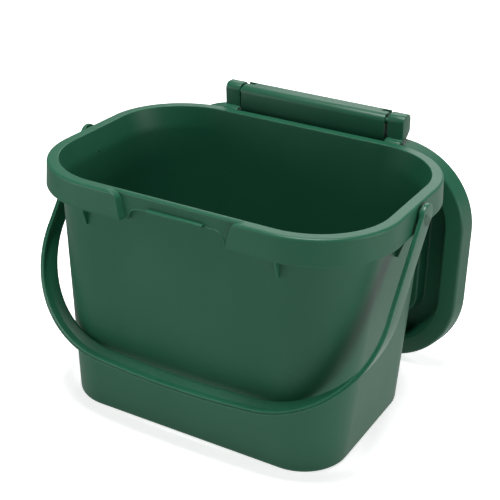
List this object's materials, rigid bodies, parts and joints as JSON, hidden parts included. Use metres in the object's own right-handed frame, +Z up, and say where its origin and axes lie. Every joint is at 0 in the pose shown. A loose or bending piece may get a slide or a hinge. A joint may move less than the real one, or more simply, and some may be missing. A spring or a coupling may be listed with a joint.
{
  "type": "compost caddy",
  "caption": "Tapered rounded-rectangular kitchen compost caddy with a hinged, recessed lid hanging open behind it and a swinging carry handle.",
  "frame": {"origin": "middle of the rim in plan, at the height of the underside", "axes": "+X to the right along the width, +Y to the back where the lid is hinged, +Z up"},
  "size_m": [0.2604, 0.2103, 0.1903],
  "materials": {
    "body_plastic": "dark green moulded polypropylene, satin",
    "lid_plastic": "dark green moulded polypropylene, satin",
    "handle_plastic": "dark green moulded polypropylene, satin, a little glossier than the body"
  },
  "bodies": {
    "body": {"body": "body_plastic"},
    "lid": {"lid": "lid_plastic"},
    "handle": {"handle": "handle_plastic"}
  },
  "joints": [
    {"name": "lid_hinge", "type": "hinge", "parent": "body", "child": "lid", "pos_m": [0, 0.0997, 0.1855], "axis": [1, 0, 0], "range_deg": [0, 270]},
    {"name": "handle_hinge", "type": "hinge", "parent": "body", "child": "handle", "pos_m": [0, 0.0019, 0.1675], "axis": [-1, 0, 0], "range_deg": [0, 240]}
  ]
}
